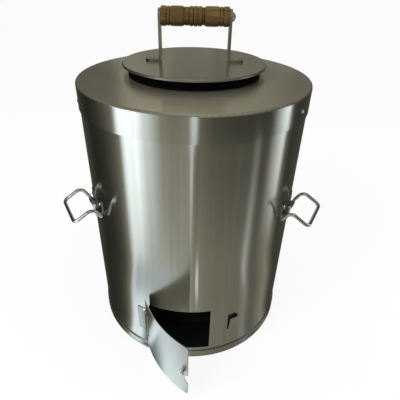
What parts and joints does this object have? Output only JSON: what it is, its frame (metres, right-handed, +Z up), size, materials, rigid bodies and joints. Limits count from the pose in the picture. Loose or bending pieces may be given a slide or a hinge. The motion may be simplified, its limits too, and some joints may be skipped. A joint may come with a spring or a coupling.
{
  "type": "charcoal tandoor",
  "caption": "Round upright charcoal oven: a steel drum round a clay fire pot, with a lift-off lid with a turned wooden handle, a curved ash door low at the front and hinged side bails.",
  "frame": {"origin": "on the floor at the drum's axis, at the middle of the base pan's flat underside", "axes": "+Z up along the drum's axis, -Y towards the ash door's side, +X to the right of someone who faces the ash door"},
  "size_m": [0.484, 0.505, 0.6347],
  "materials": {
    "shell_steel": "satin",
    "cover_steel": "satin",
    "lid_steel": "satin",
    "pan_steel": "satin",
    "door_steel": "satin",
    "strap_steel": "satin",
    "hinge_steel": "satin",
    "rod_steel": "polished",
    "bright_fixings": "polished",
    "duct_steel": "matte",
    "black_ring": "matte",
    "grate_iron": "matte",
    "clay": "matte",
    "hearth": "matte",
    "insulation": "matte",
    "grip_wood": "gloss"
  },
  "bodies": {
    "drum": {"base_pan": "pan_steel", "hearth_slab": "hearth", "clay_pot": "clay", "insulation_fill": "insulation", "air_duct": "duct_steel", "coal_grate": "grate_iron", "drum_shell": "shell_steel", "top_cover": "cover_steel", "cover_rivets": "bright_fixings", "mouth_ring": "black_ring", "drum_hinge_leaf": "hinge_steel", "hinge_pin": "bright_fixings", "left_handle_straps": "strap_steel", "right_handle_straps": "strap_steel", "handle_rivets": "bright_fixings"},
    "door": {"door_panel": "door_steel", "door_hinge_leaf": "hinge_steel", "door_knob": "bright_fixings", "knob_rivet": "bright_fixings"},
    "lid": {"lid_disc": "lid_steel", "lid_locating_ring": "lid_steel", "left_grip_strap": "strap_steel", "right_grip_strap": "strap_steel", "strap_rivets": "bright_fixings", "grip_bolt": "bright_fixings"},
    "grip": {"wooden_grip": "grip_wood"},
    "left_bail_rod": {"left_bail": "rod_steel"},
    "right_bail_rod": {"right_bail": "rod_steel"}
  },
  "joints": [
    {"name": "lid_lift", "type": "slide", "parent": "drum", "child": "lid", "axis": [0, 0, 1], "range_m": [0, 0.15]},
    {"name": "grip_spin", "type": "hinge", "parent": "lid", "child": "grip", "pos_m": [0, 0, 0.6195], "axis": [1, 0, 0], "continuous": true},
    {"name": "door_hinge", "type": "hinge", "parent": "drum", "child": "door", "pos_m": [-0.08984, -0.18621, 0.092], "axis": [0, 0, -1], "range_deg": [-46.5, 103.5]},
    {"name": "left_bail_hinge", "type": "hinge", "parent": "drum", "child": "left_bail_rod", "pos_m": [-0.18068, -0.10015, 0.307], "axis": [-0.4848, 0.8746, 0], "range_deg": [0, 44]},
    {"name": "right_bail_hinge", "type": "hinge", "parent": "drum", "child": "right_bail_rod", "pos_m": [0.18068, -0.10015, 0.307], "axis": [-0.4848, -0.8746, 0], "range_deg": [0, 44]}
  ]
}
